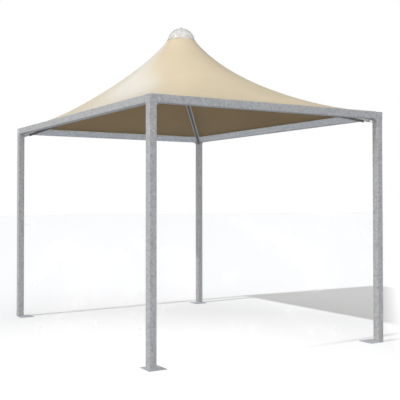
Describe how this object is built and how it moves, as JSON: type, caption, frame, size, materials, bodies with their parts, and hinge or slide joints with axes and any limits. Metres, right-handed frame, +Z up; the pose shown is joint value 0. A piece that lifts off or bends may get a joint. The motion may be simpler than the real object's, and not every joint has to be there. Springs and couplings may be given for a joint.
{
  "type": "garden gazebo with a peaked membrane roof",
  "caption": "Open garden gazebo: a galvanised square-tube frame on base plates under a peaked beige membrane roof with a clear dome at its tip.",
  "frame": {"origin": "on the ground, under the middle of the roof, level with the undersides of the base plates", "axes": "+Z up; +Y along the 4 m side, towards the back; +X along the 3 m side, to the right as seen from the front"},
  "size_m": [3, 4, 3.8207],
  "materials": {
    "galvanised_steel": "hot-dip galvanised, dull, mottled with pale and dark spangle",
    "dark_steel": "satin, near black",
    "aluminium": "satin, plain mill finish",
    "membrane": "coated polyester sheet, beige, satin, slightly glossy outside",
    "clear_acrylic": "clear to slightly milky, glossy"
  },
  "bodies": {
    "root": {"base_plate_back_left": "galvanised_steel", "base_plate_back_right": "galvanised_steel", "base_plate_front_left": "galvanised_steel", "base_plate_front_right": "galvanised_steel", "beam_back": "galvanised_steel", "beam_front": "galvanised_steel", "beam_left": "galvanised_steel", "beam_right": "galvanised_steel", "canopy": "membrane", "clamp_ring": "aluminium", "dome_cap": "clear_acrylic", "dome_knob": "galvanised_steel", "dome_rod": "galvanised_steel", "gusset_long_back_left": "galvanised_steel", "gusset_long_back_right": "galvanised_steel", "gusset_long_front_left": "galvanised_steel", "gusset_long_front_right": "galvanised_steel", "gusset_wide_back_left": "galvanised_steel", "gusset_wide_back_right": "galvanised_steel", "gusset_wide_front_left": "galvanised_steel", "gusset_wide_front_right": "galvanised_steel", "head_cross": "galvanised_steel", "head_ring": "galvanised_steel", "hub": "galvanised_steel", "mast": "galvanised_steel", "post_back_left": "galvanised_steel", "post_back_right": "galvanised_steel", "post_front_left": "galvanised_steel", "post_front_right": "galvanised_steel", "rafter_back_left": "dark_steel", "rafter_back_right": "dark_steel", "rafter_front_left": "dark_steel", "rafter_front_right": "dark_steel", "rafter_seat_back_left": "galvanised_steel", "rafter_seat_back_right": "galvanised_steel", "rafter_seat_front_left": "galvanised_steel", "rafter_seat_front_right": "galvanised_steel", "rafter_strap_back_left": "galvanised_steel", "rafter_strap_back_right": "galvanised_steel", "rafter_strap_front_left": "galvanised_steel", "rafter_strap_front_right": "galvanised_steel", "rail_back": "aluminium", "rail_front": "aluminium", "rail_left": "aluminium", "rail_right": "aluminium"}
  },
  "joints": []
}
